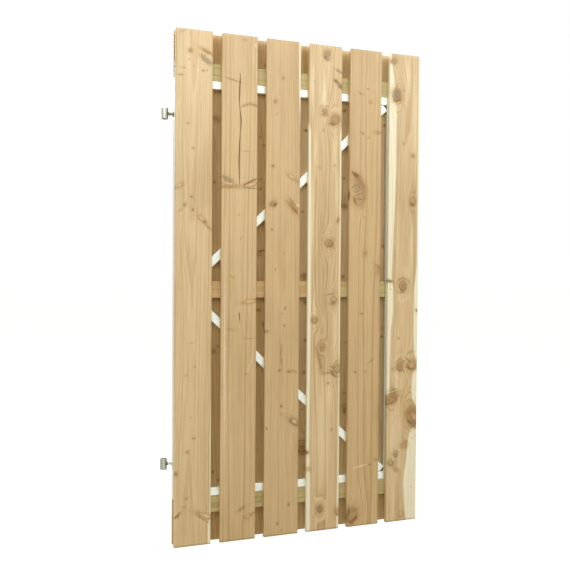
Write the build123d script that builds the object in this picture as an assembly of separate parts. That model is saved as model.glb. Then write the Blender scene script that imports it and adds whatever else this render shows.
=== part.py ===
from build123d import *
import os
from math import atan2, cos, degrees, sin

# A garden door leaf: spaced boards on both faces of a welded steel K-frame, hung on two eye bolts.
# Millimetres. +X runs from the hinges to the lock side, +Y from the front face to the back, +Z up.
# The origin lies on the hinge axis, on the flat underside of the lower eye, where it rests on its pin's collar.

# Planed boards, the same section on both faces
board_width = 137.0
board_thickness = 16.0
board_height = 1900.0
board_gap = 35.6
board_edge_radius = 1.5
board_count = 6

# Rectangular steel tube of the frame
tube_face = 30.0
tube_depth = 20.0
tube_wall = 2.0
tube_corner_radius = 2.5

# Welded frame, measured in from the boards' ends and from the leaf's outer edges
frame_inset = 175.0
hinge_stile_outset = 2.0
lock_stile_inset = 110.0
brace_apex_rise = 3.0

# Treated cross rails that the boards are screwed to
rail_height = 62.0
middle_rail_start = 67.0
rail_edge_radius = 1.0

# Adjustable eye bolts and their nuts, which fit between the boards
eye_height = 40.0
eye_diameter = 24.0
pin_bore = 16.4
eye_outset = 33.0
eye_chamfer = 1.0
hinge_inset = 133.0
bolt_diameter = 10.0
bolt_overrun = 5.0
bolt_clearance = 0.1
bolt_chamfer = 1.0
weld_collar_diameter = 18.0
weld_collar_length = 5.0
nut_height = 5.0
nut_side_clearance = 1.5

# Places that follow from the sizes above
leaf_width = board_count * board_width + (board_count - 1) * board_gap
leaf_left = eye_outset + hinge_stile_outset
leaf_bottom = -(frame_inset + hinge_inset - eye_height / 2)
middle_layer_front = -tube_depth / 2
front_layer = middle_layer_front - board_thickness
rear_layer = middle_layer_front + tube_depth
board_pitch = board_width + board_gap
frame_height = board_height - 2 * frame_inset
frame_low = leaf_bottom + frame_inset
frame_high = frame_low + frame_height
hinge_stile_left = leaf_left - hinge_stile_outset
hinge_stile_right = hinge_stile_left + tube_face
lock_stile_right = leaf_left + leaf_width - lock_stile_inset
lock_stile_left = lock_stile_right - tube_face
frame_middle = (frame_low + frame_high) / 2
lower_eye_centre = eye_height / 2
upper_eye_centre = frame_high - hinge_inset
nut_width = tube_depth - 2 * nut_side_clearance


def timber(left, width, front, depth, low, height, radius, upright=True):
    """A planed length of wood with its four long edges rounded."""
    middle = (left + width / 2, front + depth / 2, low + height / 2)
    if upright:
        section = RectangleRounded(width, depth, radius)
        return Pos(middle[0], middle[1], low) * extrude(section, height)
    section = Plane.YZ * RectangleRounded(depth, height, radius)
    return Pos(left, middle[1], middle[2]) * extrude(section, width)


def tube(length):
    """Rectangular tube along +Z, centred on the Z axis, with its wide face towards -Y."""
    inner_radius = max(tube_corner_radius - tube_wall, 0.2)
    outer = RectangleRounded(tube_face, tube_depth, tube_corner_radius)
    inner = RectangleRounded(tube_face - 2 * tube_wall, tube_depth - 2 * tube_wall, inner_radius)
    return extrude(outer - inner, length)


def stile(left):
    """Upright tube, as tall as the frame."""
    return Pos(left + tube_face / 2, 0, frame_low) * tube(frame_height)


def drilled(solid, height):
    """The hinge stile with the cross hole that one eye bolt passes through."""
    drill = Rot(0, 90, 0) * Cylinder(bolt_diameter / 2 + bolt_clearance, 3 * tube_face)
    return solid - Pos(hinge_stile_left + tube_face / 2, 0, height) * drill


def cross_tube(low):
    """Level tube between the two stiles."""
    length = lock_stile_left - hinge_stile_right
    return Pos(hinge_stile_right, 0, low + tube_face / 2) * Rot(0, 90, 0) * tube(length)


def brace(up):
    """Diagonal tube from the middle of the hinge stile to a corner of the frame at the lock side.
    It is mitred to the stile and to its twin, and cut square where its two corners meet the frame."""
    rise = frame_height / 2 - tube_face + (-brace_apex_rise if up else brace_apex_rise)
    run = lock_stile_left - hinge_stile_right
    angle = atan2(rise, run)
    for _ in range(30):
        angle = atan2(rise - tube_face / 2 * cos(angle), run - tube_face / 2 * sin(angle))
    far_x = run - tube_face / 2 * sin(angle)
    far_z = rise - tube_face / 2 * cos(angle)
    length = (far_x ** 2 + far_z ** 2) ** 0.5
    spare = 2 * tube_face
    bar = Pos(0, 0, -spare) * tube(length + spare)
    bar = Rot(0, 90 - degrees(angle), 0) * bar
    keep = Pos(run / 2, 0, rise / 2) * Box(run, 2 * tube_depth, rise)
    bar = bar & keep
    if not up:
        bar = mirror(bar, Plane.XY)
    return Pos(hinge_stile_right, 0, frame_middle + brace_apex_rise) * bar


def hinge_eye(centre):
    """Eye bolt: a bored barrel on the hinge axis with a shank welded to its side."""
    barrel = Cylinder(eye_diameter / 2, eye_height)
    barrel = chamfer(barrel.edges().filter_by(GeomType.CIRCLE), eye_chamfer)
    shank_length = eye_outset + tube_face + nut_height + bolt_overrun
    shank = Rot(0, 90, 0) * extrude(Circle(bolt_diameter / 2), shank_length)
    tip = shank.faces().sort_by(Axis.X)[-1].edges()
    shank = chamfer(tip, bolt_chamfer)
    collar_start = weld_collar_diameter / 2
    collar_end = eye_diameter / 2 + weld_collar_length
    collar_length = collar_end - collar_start
    collar = Cone(weld_collar_diameter / 2, bolt_diameter / 2, collar_length)
    collar = Pos((collar_start + collar_end) / 2, 0, 0) * Rot(0, 90, 0) * collar
    bore = Cylinder(pin_bore / 2, 2 * eye_height)
    return Pos(0, 0, centre) * (barrel + shank + collar - bore)


def hinge_nut(seat, towards, centre):
    """Hexagon nut against one side of the stile, its corners turned off at the face that looks away."""
    corner_radius = nut_width / 3 ** 0.5
    turned = extrude(Circle(corner_radius), nut_height)
    turned = chamfer(turned.faces().sort_by(Axis.Z)[-1].edges(), corner_radius - nut_width / 2)
    nut = extrude(RegularPolygon(corner_radius, 6), nut_height) & turned
    nut -= Cylinder(bolt_diameter / 2 + bolt_clearance, 3 * nut_height)
    return Pos(seat, 0, centre) * Rot(0, 90 * towards, 0) * nut


def boards():
    """Front boards edge to edge with open gaps, rear boards behind the gaps, and a narrow one at each side."""
    pieces = {}
    height = (leaf_bottom, board_height, board_edge_radius)
    for k in range(board_count):
        left = leaf_left + k * board_pitch
        pieces[f"front_board_{k + 1}"] = timber(left, board_width, front_layer, board_thickness, *height)
    first_rear = leaf_left + board_pitch / 2
    for k in range(board_count - 1):
        left = first_rear + k * board_pitch
        pieces[f"rear_board_{k + 1}"] = timber(left, board_width, rear_layer, board_thickness, *height)
    side_width = board_pitch / 2 - board_gap
    side = (side_width, rear_layer, board_thickness, *height)
    pieces["hinge_side_rear_board"] = timber(leaf_left, *side)
    pieces["lock_side_rear_board"] = timber(leaf_left + leaf_width - side_width, *side)
    return pieces


def rails():
    """Cross rails between the two layers of boards: above, below and inside the steel frame."""
    layer = (middle_layer_front, tube_depth)
    middle_left = hinge_stile_right + middle_rail_start
    middle_low = frame_middle - rail_height / 2
    spans = {
        "top_rail": (leaf_left, leaf_width, frame_high),
        "middle_rail": (middle_left, lock_stile_left - middle_left, middle_low),
        "bottom_rail": (leaf_left, leaf_width, frame_low - rail_height),
    }
    return {name: timber(left, width, *layer, low, rail_height, rail_edge_radius, upright=False)
            for name, (left, width, low) in spans.items()}


def steel_frame():
    """Four tubes and two braces, welded into a K."""
    hinge_stile = drilled(drilled(stile(hinge_stile_left), lower_eye_centre), upper_eye_centre)
    return {
        "hinge_stile": hinge_stile,
        "lock_stile": stile(lock_stile_left),
        "top_tube": cross_tube(frame_high - tube_face),
        "bottom_tube": cross_tube(frame_low),
        "upper_brace": brace(up=True),
        "lower_brace": brace(up=False),
    }


def hinges():
    """Two eye bolts, each clamped to the hinge stile between an outer and an inner nut."""
    pieces = {}
    for name, centre in (("lower", lower_eye_centre), ("upper", upper_eye_centre)):
        pieces[f"{name}_hinge_eye"] = hinge_eye(centre)
        pieces[f"{name}_hinge_outer_nut"] = hinge_nut(hinge_stile_left, -1, centre)
        pieces[f"{name}_hinge_inner_nut"] = hinge_nut(hinge_stile_right, 1, centre)
    return pieces


os.makedirs("parts", exist_ok=True)
for group in (boards(), rails(), steel_frame(), hinges()):
    for name, solid in group.items():
        export_step(solid, f"parts/{name}.step")
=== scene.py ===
import math
import bpy
import numpy as np
from mathutils import Matrix, Vector


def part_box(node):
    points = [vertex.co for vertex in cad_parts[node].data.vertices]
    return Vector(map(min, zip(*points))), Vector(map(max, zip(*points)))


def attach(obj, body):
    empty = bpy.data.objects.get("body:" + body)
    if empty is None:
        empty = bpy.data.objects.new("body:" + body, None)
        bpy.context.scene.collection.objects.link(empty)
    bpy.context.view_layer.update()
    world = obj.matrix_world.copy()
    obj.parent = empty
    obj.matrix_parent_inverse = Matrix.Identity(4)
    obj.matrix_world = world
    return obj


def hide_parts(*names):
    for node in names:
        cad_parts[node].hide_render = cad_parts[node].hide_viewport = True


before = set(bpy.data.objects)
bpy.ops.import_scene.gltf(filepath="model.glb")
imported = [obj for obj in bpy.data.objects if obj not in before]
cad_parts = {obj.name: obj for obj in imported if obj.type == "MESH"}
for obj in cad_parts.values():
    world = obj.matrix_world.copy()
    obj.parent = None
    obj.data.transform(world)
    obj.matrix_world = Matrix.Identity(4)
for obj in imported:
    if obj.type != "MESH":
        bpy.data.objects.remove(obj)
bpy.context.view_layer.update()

# The camera stands left of the door and a little above its middle, level, as for the photograph.
# Its place is given from the lower front corner of the first board.
MM = 0.001
CAMERA_PLACE = (-413.4, -2485.5, 1017.9)
CAMERA_YAW, CAMERA_PITCH, CAMERA_ROLL = -18.615, -1.104, -0.408
FOCAL_PIXELS, IMAGE_PIXELS, SENSOR_WIDTH = 682.55, 570, 36

leaf_low = Vector(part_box("front_board_1")[0])
leaf_high = Vector(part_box("front_board_6")[1])
camera = bpy.data.objects.new("camera", bpy.data.cameras.new("camera"))
camera.data.sensor_width = SENSOR_WIDTH
camera.data.lens = FOCAL_PIXELS * SENSOR_WIDTH / IMAGE_PIXELS
aim = Matrix.Rotation(math.radians(CAMERA_YAW), 4, "Z")
aim @= Matrix.Rotation(math.radians(CAMERA_PITCH), 4, "X")
aim @= Matrix.Rotation(math.radians(CAMERA_ROLL), 4, "Y")
aim @= Matrix.Rotation(math.radians(90), 4, "X")
camera.matrix_world = Matrix.Translation(leaf_low + Vector(CAMERA_PLACE) * MM) @ aim
bpy.context.scene.collection.objects.link(camera)
bpy.context.scene.camera = camera


# The frame is rectangular steel tube, welded into a K and dipped whole in zinc, which leaves it nearly
# white with a faint pattern of crystals. The tubes keep their CAD meshes.
def srgb(red, green, blue):
    """A colour written as it looks on screen, 0 to 255, made linear for a shader."""
    parts = np.array((red, green, blue)) / 255
    linear = np.where(parts <= 0.04045, parts / 12.92, ((parts + 0.055) / 1.055) ** 2.4)
    return (*linear.tolist(), 1.0)


def plugged(tree, made, inputs):
    """A node whose inputs are given a constant or another node's socket each."""
    for key, value in inputs.items():
        if isinstance(value, bpy.types.NodeSocket):
            tree.links.new(value, made.inputs[key])
        else:
            made.inputs[key].default_value = value
    return made


def node(tree, kind, inputs, **settings):
    """One shader node, set before it is plugged in."""
    made = tree.nodes.new("ShaderNode" + kind)
    for name, value in settings.items():
        setattr(made, name, value)
    return plugged(tree, made, inputs)


def calc(tree, operation, *values):
    """The result of one Math node."""
    return node(tree, "Math", dict(enumerate(values)), operation=operation).outputs[0]


def ramp(tree, value, low, high, to_low=0.0, to_high=1.0):
    """The value carried smoothly from one range to another, level outside it."""
    inputs = {0: value, 1: low, 2: high, 3: to_low, 4: to_high}
    return node(tree, "MapRange", inputs, interpolation_type="SMOOTHSTEP").outputs[0]


def mix(tree, factor, first, second, blend="MIX"):
    """Two colours mixed by a factor."""
    return node(tree, "Mix", {0: factor, 6: first, 7: second}, data_type="RGBA", blend_type=blend).outputs[2]


def object_point(tree):
    """The place of a point on the object, in metres."""
    return node(tree, "TexCoord", {}).outputs["Object"]


def coordinate(tree, point, axis):
    """One coordinate of a point: 0, 1 or 2 for X, Y or Z."""
    return node(tree, "SeparateXYZ", {0: point}).outputs[axis]


def vector(tree, operation, first, second):
    """The result of one Vector Math node."""
    return node(tree, "VectorMath", {0: first, 1: second}, operation=operation).outputs[0]


def stretched(tree, point, *scale):
    """A point with each coordinate scaled, to stretch a pattern."""
    return vector(tree, "MULTIPLY", point, scale)


def noise(tree, point, scale, detail=2.0, roughness=0.5):
    """Noise from 0 to 1 at a point."""
    inputs = {"Vector": point, "Scale": scale, "Detail": detail, "Roughness": roughness}
    return node(tree, "TexNoise", inputs).outputs["Fac"]


def new_group(name, inputs, outputs):
    """A node group with named inputs and their defaults, and named outputs: the group, the sockets of its
    inputs, and the node that its outputs are plugged into."""
    group = bpy.data.node_groups.new(name, "ShaderNodeTree")
    for label, (kind, default) in inputs.items():
        socket = group.interface.new_socket(label, in_out="INPUT", socket_type="NodeSocket" + kind)
        socket.default_value = default
    for label, kind in outputs.items():
        group.interface.new_socket(label, in_out="OUTPUT", socket_type="NodeSocket" + kind)
    return group, group.nodes.new("NodeGroupInput").outputs, group.nodes.new("NodeGroupOutput")


def use_group(tree, group, inputs):
    """The outputs of a node group placed in a tree."""
    made = tree.nodes.new("ShaderNodeGroup")
    made.node_tree = group
    return plugged(tree, made, inputs).outputs


def new_material(name):
    """A material with an empty tree, and that tree."""
    material = bpy.data.materials.new(name)
    material.use_nodes = True
    material.node_tree.nodes.clear()
    return material, material.node_tree


def surface(tree, looks, colour, **constants):
    """Ends a material: its Principled shader, with the roughness of a group's looks, and their height in
    metres as bump."""
    normal = node(tree, "Bump", {"Height": looks["Height"], "Strength": 1.0, "Distance": 1.0}).outputs[0]
    inputs = {"Base Color": colour, "Roughness": looks["Roughness"], "Normal": normal, **constants}
    shader = node(tree, "BsdfPrincipled", inputs).outputs[0]
    node(tree, "OutputMaterial", {"Surface": shader})


def paint(solid, material):
    """Gives a CAD node its material."""
    solid.data.materials.clear()
    solid.data.materials.append(material)


ZINC_LIGHT, ZINC_DULL, ZINC_STAIN_AND_SHADE = srgb(250, 254, 242), srgb(236, 244, 230), srgb(196, 200, 182)
CRYSTAL, ZINC_RELIEF, ZINC_METAL = 9 * MM, 0.04 * MM, 0.5
BLOOM_SCALE, DIRT_SCALE, RELIEF_SCALE = 25, 8, 300
TONE_SPAN, DIRT_SPAN, MOST_DIRT, ROUGHEST, SMOOTHEST = (0.3, 1.3), (0.55, 0.75), 0.35, 0.48, 0.34
SHADE_EDGE, LOCK_STILE_SHADE, HINGE_STILE_SHADE = 1.5 * MM, 0.85, 0.5

zinc, zinc_in, zinc_out = new_group(
    "zinc",
    {"Light": ("Color", ZINC_LIGHT), "Dull": ("Color", ZINC_DULL), "Stain": ("Color", ZINC_STAIN_AND_SHADE),
     "Crystals": ("Float", 1.0), "Stained and shaded": ("Float", 0.0)},
    {"Color": "Color", "Roughness": "Float", "Height": "Float"})
point = object_point(zinc)
crystal = node(zinc, "TexVoronoi", {"Vector": point, "Scale": 1 / CRYSTAL}).outputs["Color"]
crystal = node(zinc, "SeparateColor", {0: crystal}).outputs[0]
bloom = noise(zinc, point, BLOOM_SCALE, 5.0, 0.62)
tone = calc(zinc, "MULTIPLY_ADD", crystal, zinc_in["Crystals"], bloom)
tone = ramp(zinc, tone, *TONE_SPAN)
dirt = ramp(zinc, noise(zinc, point, DIRT_SCALE, 6.0, 0.7), *DIRT_SPAN, 0.0, MOST_DIRT)
# Random dirt stains the zinc, and the share given to the group adds each material's own darkening on top,
# such as painted shade.
stain_and_shade = calc(zinc, "MAXIMUM", dirt, zinc_in["Stained and shaded"])
clean = mix(zinc, tone, zinc_in["Dull"], zinc_in["Light"])
plugged(zinc, zinc_out, {
    "Color": mix(zinc, stain_and_shade, clean, zinc_in["Stain"]),
    "Roughness": ramp(zinc, tone, 0.0, 1.0, ROUGHEST, SMOOTHEST),
    "Height": calc(zinc, "MULTIPLY", noise(zinc, point, RELIEF_SCALE, 3.0), ZINC_RELIEF)})

# The sides of the two stiles that look towards the hinges are drawn darker, as painted shade.
galvanised, tree = new_material("galvanised_tube")
place = coordinate(tree, object_point(tree), 0)
away = calc(tree, "ABSOLUTE", calc(tree, "SUBTRACT", place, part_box("lock_stile")[0][0] + SHADE_EDGE))
dull = ramp(tree, away, SHADE_EDGE, 2 * SHADE_EDGE, LOCK_STILE_SHADE, 0.0)
away = calc(tree, "SUBTRACT", place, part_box("hinge_stile")[0][0])
dull = calc(tree, "MAXIMUM", dull, ramp(tree, away, SHADE_EDGE, 2 * SHADE_EDGE, HINGE_STILE_SHADE, 0.0))
looks = use_group(tree, zinc, {"Stained and shaded": dull})
surface(tree, looks, looks["Color"], Metallic=ZINC_METAL)

for name in ("hinge_stile", "lock_stile", "top_tube", "bottom_tube", "upper_brace", "lower_brace"):
    paint(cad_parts[name], galvanised)


# Weld beads close the inner corners of the frame and the ends of the braces. They lie between the two
# layers of boards, so only their sides show, and the faces under the boards are ground flush.
BEAD_RADIUS, BEAD_STEP, BEAD_MARGIN = 2.2 * MM, 1.5 * MM, 1.5 * MM
BEAD_ROUND, BEAD_SMOOTH, BEAD_SWELL, BEAD_LEAN, BEAD_BLUNT = 14, 8, 0.18, 0.5, 6
TUBE_SLOPE_HEIGHT = 42 * MM


def on_leaf(name, mesh):
    """An object at the origin, on the part's one body."""
    piece = bpy.data.objects.new(name, mesh)
    bpy.context.scene.collection.objects.link(piece)
    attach(piece, "root")
    return piece


def new_piece(name, points, faces, material):
    """A smooth mesh with its material, on the leaf."""
    mesh = bpy.data.meshes.new(name)
    mesh.from_pydata(points, [], faces)
    mesh.materials.append(material)
    mesh.polygons.foreach_set("use_smooth", np.ones(len(mesh.polygons), bool))
    return on_leaf(name, mesh)


def grid_faces(rows, columns, close_rows=False):
    """Four-sided faces of a grid whose columns run round and close, as its rows may."""
    i, j = np.meshgrid(np.arange(rows if close_rows else rows - 1), np.arange(columns), indexing="ij")
    below, above = i * columns, (i + 1) % rows * columns
    right = (j + 1) % columns
    return np.stack([below + j, below + right, above + right, above + j], -1).reshape(-1, 4)


def stacked(x, y, z):
    """The points of a grid as one list, from their coordinates."""
    return np.stack(np.broadcast_arrays(x, y, z), -1).reshape(-1, 3)


def round_turn(count):
    """Angles once round, across a grid."""
    return np.linspace(0, 2 * np.pi, count, endpoint=False)[None, :]


def bead(x, z, low, high):
    """A weld bead along Y: a circle whose radius swells once a ripple and closes to a point at both ends."""
    steps = round((high - low) / BEAD_STEP) * BEAD_SMOOTH + 1
    along = np.linspace(0, 1, steps)[:, None]
    turn = round_turn(BEAD_ROUND)
    ripple = np.abs(np.sin(np.pi * along * (steps - 1) / BEAD_SMOOTH - BEAD_LEAN * np.cos(turn)))
    closing = np.sqrt(1 - np.abs(2 * along - 1) ** BEAD_BLUNT)
    radius = BEAD_RADIUS * (1 + BEAD_SWELL * (ripple - 1)) * closing
    points = stacked(x + radius * np.cos(turn), low + (high - low) * along, z + radius * np.sin(turn))
    return points, grid_faces(steps, BEAD_ROUND)


def joined(shapes):
    """Several (points, faces) as one, and where each one's points start."""
    starts = np.cumsum([0] + [len(points) for points, _ in shapes])
    faces = [part + start for start, (_, part) in zip(starts, shapes)]
    return np.concatenate([points for points, _ in shapes]), np.concatenate(faces).tolist(), starts


inner_left, inner_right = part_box("top_tube")[0][0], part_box("top_tube")[1][0]
inner_low, inner_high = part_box("bottom_tube")[1][2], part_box("top_tube")[0][2]
apex_high, apex_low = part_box("upper_brace")[0][2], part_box("lower_brace")[1][2]
bead_places = [
    (inner_left, inner_low), (inner_left, inner_high), (inner_right, inner_low), (inner_right, inner_high),
    (inner_left, apex_high + TUBE_SLOPE_HEIGHT), (inner_left, apex_low - TUBE_SLOPE_HEIGHT),
]
bead_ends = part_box("hinge_stile")[0][1] + BEAD_MARGIN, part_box("lock_stile")[1][1] - BEAD_MARGIN
points, faces, _ = joined([bead(x, z, *bead_ends) for x, z in bead_places])
new_piece("frame_welds", points, faces, galvanised)


# Each hinge eye is a bored barrel welded to a threaded bolt, and a nut each side of the stile clamps it.
# All of it is zinc plated, and the heat of the weld has turned the plating dark beside it. The barrels are
# also darker at their rims, and at their left and right sides as painted reflection of dark surroundings.
PLATED_LIGHT, PLATED_DULL, PLATED_BURNT_AND_SHADED = srgb(244, 247, 242), srgb(204, 207, 194), srgb(136, 137, 112)
BARREL_RADIUS, BORE_RADIUS, BARREL_EDGE, BORE_EDGE = 12 * MM, 8.2 * MM, 1 * MM, 0.5 * MM
BOLT_RADIUS, TIP_LENGTH, TIP_CHAMFER = 5 * MM, 1.4 * MM, 1 * MM
THREAD_PITCH, THREAD_DEPTH, THREAD_START = 1.5 * MM, 0.8 * MM, 20 * MM
WELD_RADIUS, WELD_START, WELD_END, WELD_ROWS = 9 * MM, 9.5 * MM, 17 * MM, 26
WELD_TOE, WELD_CURVE, WELD_RIPPLE, WELD_SWELL = 0.9 * BOLT_RADIUS, 0.8, 1.9 * MM, 0.35 * MM
BARREL_ROUND, BARREL_LEVELS, BOLT_ROUND, ROWS_PER_TURN = 64, 12, 40, 6
BOLT_ROOT, BOLT_POLE = 0.7 * BARREL_RADIUS, 0.01 * MM
PLATED_METAL = 0.85

# How dark each eye is: how far the weld's heat reaches, the shares at its lower and upper rims, and those
# of painted reflection, joined by the weld's heat at the right, round its barrel, at places from its left
# side, -1, to its right side, 1
BURN_REACH, BURN_UPRIGHT = {"upper": 10 * MM, "lower": 4 * MM}, 0.6
RIM_DARK_WIDTH, RIM_SHARES = 3 * MM, {"upper": (0.6, 0.0), "lower": (0.5, 0.75)}
SIDE_PLACES = (-1, -0.6, -0.4, 0.3, 0.5, 1)
SIDE_SHADE_AND_HEAT = {"upper": (0.6, 0.5, 0.0, 0.0, 0.6, 0.9), "lower": (0.75, 0.65, 0.45, 0.15, 0.95, 1.0)}


def turned(profile, count):
    """A profile of (radius, height) turned once round the Z axis."""
    radius, height = np.array(profile).T[..., None]
    turn = round_turn(count)
    return stacked(radius * np.cos(turn), radius * np.sin(turn), height)


def barrel(height):
    """A tube with turned edges: one closed profile, up the outside and down the bore, turned round Z."""
    top, radius, bore = height / 2, BARREL_RADIUS, BORE_RADIUS
    levels = np.linspace(-top + BARREL_EDGE, top - BARREL_EDGE, BARREL_LEVELS)
    inner_levels = np.linspace(top - BORE_EDGE, -top + BORE_EDGE, BARREL_LEVELS)
    profile = [*((radius, level) for level in levels), (radius - BARREL_EDGE, top), (bore + BORE_EDGE, top),
               *((bore, level) for level in inner_levels),
               (bore + BORE_EDGE, -top), (radius - BARREL_EDGE, -top)]
    return turned(profile, BARREL_ROUND), grid_faces(len(profile), BARREL_ROUND, close_rows=True)


def threaded_bolt(length):
    """A bolt along X: its radius follows a triangle wave that climbs one pitch a turn, and closes at the
    tip."""
    rows = round((length - THREAD_START) / THREAD_PITCH) * ROWS_PER_TURN
    along = np.concatenate([[BOLT_ROOT, BOLT_ROOT, 0.9 * THREAD_START],
                            np.linspace(THREAD_START, length, rows), [length]])[:, None]
    turn = round_turn(BOLT_ROUND)
    wave = np.abs(2 * ((along / THREAD_PITCH - turn / (2 * np.pi)) % 1) - 1)
    cut = np.clip((along - THREAD_START) / THREAD_PITCH, 0, 1)
    tip = np.clip((along - length + TIP_LENGTH) / TIP_LENGTH, 0, 1)
    radius = BOLT_RADIUS - THREAD_DEPTH * wave * cut
    radius = np.minimum(radius, BOLT_RADIUS - TIP_CHAMFER * tip)
    radius[0] = radius[-1] = BOLT_POLE
    points = stacked(along, radius * np.cos(turn), radius * np.sin(turn))
    return points, grid_faces(len(along), BOLT_ROUND)[:, ::-1]


def weld_collar():
    """A weld round the bolt: a cone from the barrel down to the bolt, with a ripple for each pass."""
    along = np.linspace(0, 1, WELD_ROWS)[:, None]
    turn = round_turn(BOLT_ROUND)
    place = WELD_START + (WELD_END - WELD_START) * along
    ripple = np.abs(np.sin(np.pi * place / WELD_RIPPLE + 0.8 * np.sin(3 * turn)))
    radius = WELD_RADIUS + (WELD_TOE - WELD_RADIUS) * along ** WELD_CURVE
    radius = radius + WELD_SWELL * ripple * (1 - along)
    points = stacked(place, radius * np.cos(turn), radius * np.sin(turn))
    return points, grid_faces(WELD_ROWS, BOLT_ROUND)[:, ::-1]


def attribute(tree, name):
    """A point attribute of the mesh."""
    return node(tree, "Attribute", {}, attribute_name=name).outputs["Fac"]


def plated_steel(name, light, dull, crystals, stain_and_shade_share=None):
    """Zinc plated steel, darkened evenly or as its mesh is marked, with weld heat and painted reflection."""
    material, tree = new_material(name)
    looks = use_group(tree, zinc, {
        "Light": light, "Dull": dull, "Stain": PLATED_BURNT_AND_SHADED, "Crystals": crystals,
        "Stained and shaded": attribute(tree, "burn_and_shade") if stain_and_shade_share is None else stain_and_shade_share})
    surface(tree, looks, looks["Color"], Metallic=PLATED_METAL)
    return material


hinge_steel = plated_steel("hinge_steel", PLATED_LIGHT, PLATED_DULL, 0.2)
dull_steel = plated_steel("dull_steel", PLATED_DULL, PLATED_BURNT_AND_SHADED, 0.3, 0.5)

for side in ("upper", "lower"):
    low, high = map(np.array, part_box(f"{side}_hinge_eye"))
    middle, half = np.array([0, 0, (low[2] + high[2]) / 2]), (high[2] - low[2]) / 2
    points, faces, starts = joined([barrel(2 * half), threaded_bolt(high[0]), weld_collar()])
    piece = new_piece(f"{side}_eye_bolt", points + middle, faces, hinge_steel)
    reach = BURN_REACH[side]
    away = np.hypot(np.maximum(np.abs(points[:, 0] - WELD_START - reach / 2) - reach / 2, 0),
                    BURN_UPRIGHT * np.maximum(np.abs(points[:, 2]) - WELD_RADIUS, 0))
    burn_and_shade_share = np.exp(-(away / reach) ** 2)
    for rim, share in zip((-half, half), RIM_SHARES[side]):
        burn_and_shade_share = np.maximum(burn_and_shade_share, share * np.exp(-((points[:, 2] - rim) / RIM_DARK_WIDTH) ** 2))
    # Painted reflection: the barrel is darker at its left and right sides, as a shiny cylinder is where it
    # mirrors dark surroundings; at the right, the weld's side, this joins the heat's darkening.
    sides = np.interp(points[:, 0] / BARREL_RADIUS, SIDE_PLACES, SIDE_SHADE_AND_HEAT[side])
    burn_and_shade_share = np.where(np.arange(len(points)) < starts[1], np.maximum(burn_and_shade_share, sides), burn_and_shade_share)
    piece.data.attributes.new("burn_and_shade", "FLOAT", "POINT").data.foreach_set("value", burn_and_shade_share)
    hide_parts(f"{side}_hinge_eye")
    for nut in (f"{side}_hinge_outer_nut", f"{side}_hinge_inner_nut"):
        paint(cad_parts[nut], dull_steel if nut == "upper_hinge_outer_nut" else hinge_steel)


# The cross rails are planed softwood with square-sawn ends, between the two layers of boards. The top and
# bottom ones are treated green under pressure, and the middle one has kept its green only at the lock end.
EDGE_RADIUS, EDGE_STEPS, SIDE_STEPS, CAP_STEPS = 1.4 * MM, 3, 3, 5
RAIL_CELL, RAIL_STEP = 3 * MM, 8 * MM


def plank(size, columns, rows, press=None):
    """A planed length of wood. Its section is a rectangle with quarter-round corners, and is carried along
    the length, so that a point is (section(u), row(v)). Both ends are flat grids from front to back.
    press(across, along) gives how far each point of the front face moves sideways and lies in, and how
    much of a crack's painted shade it takes."""
    width, depth, length = size
    side = np.linspace(EDGE_RADIUS, depth - EDGE_RADIUS, SIDE_STEPS + 1)
    bend = np.linspace(0, np.pi / 2, EDGE_STEPS + 2)[1:-1]
    near, far = EDGE_RADIUS * (1 - np.sin(bend)), EDGE_RADIUS * (1 - np.cos(bend))
    section = np.concatenate([
        np.stack([columns, 0 * columns], 1),
        np.stack([width - near, far], 1),
        np.stack([width + 0 * side, side], 1),
        np.stack([width - far, depth - near], 1),
        np.stack([columns[::-1], depth + 0 * columns], 1),
        np.stack([near, depth - far], 1),
        np.stack([0 * side, side[::-1]], 1),
        np.stack([far, near], 1),
    ])
    around, front = len(section), len(columns)
    back = front + EDGE_STEPS * 2 + SIDE_STEPS + 1
    grid = np.broadcast_to(section, (len(rows), around, 2))
    grid = np.concatenate([grid, np.broadcast_to(rows[:, None, None], (len(rows), around, 1))], 2)
    crack_shade = np.zeros(grid.shape[:2])
    if press is not None:
        sideways, pressed, crack_shade[:, :front] = press(grid[:, :front, 0], grid[:, :front, 2])
        grid[:, :front, 0] += sideways
        grid[:, :front, 1] += pressed
    points = [grid.reshape(-1, 3)]
    faces = [grid_faces(len(rows), around)]
    strips = []
    start = len(rows) * around
    for end, ring in ((0, 0), (1, start - around)):
        depths = np.linspace(0, depth, CAP_STEPS + 1)[1:-1]
        inner = np.stack(np.broadcast_arrays(columns[None, :], depths[:, None], rows[-end]), -1)
        points.append(inner.reshape(-1, 3))
        middle = start + np.arange(inner[..., 0].size).reshape(len(depths), front)
        start += middle.size
        cap = np.vstack([ring + np.arange(front), middle, ring + back + np.arange(front)[::-1]])
        flat = np.stack([cap[:-1, :-1], cap[:-1, 1:], cap[1:, 1:], cap[1:, :-1]], -1).reshape(-1, 4)
        right = np.concatenate([ring + np.arange(front - 1, back + 1), middle[::-1, -1]])
        left = np.concatenate([ring + np.arange(back + front - 1, around), [ring], middle[:, 0]])
        faces.append(flat if end else flat[:, ::-1])
        strips += [strip if end else strip[::-1] for strip in (right, left)]
    points = np.concatenate(points)
    crack_shade = np.concatenate([crack_shade.ravel(), np.zeros(len(points) - crack_shade.size)])
    return points, np.concatenate(faces), strips, crack_shade


# Rings of brown heartwood beside the sapwood: how far in each lies, its half width and its share
BROWN_RINGS = ((4, 3.5, 1.0), (12.5, 3, 0.7), (23, 3.5, 0.9), (35, 3, 0.5))
# Waves of the pith's line and of the rings' width: the height and length of each, and its turns of the phase
PITH_WAVES, RING_WAVES = ((1.6, 290, 1), (0.8, 97, 2)), ((0.35, 1.9, 1), (0.17, 0.83, 3))
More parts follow.
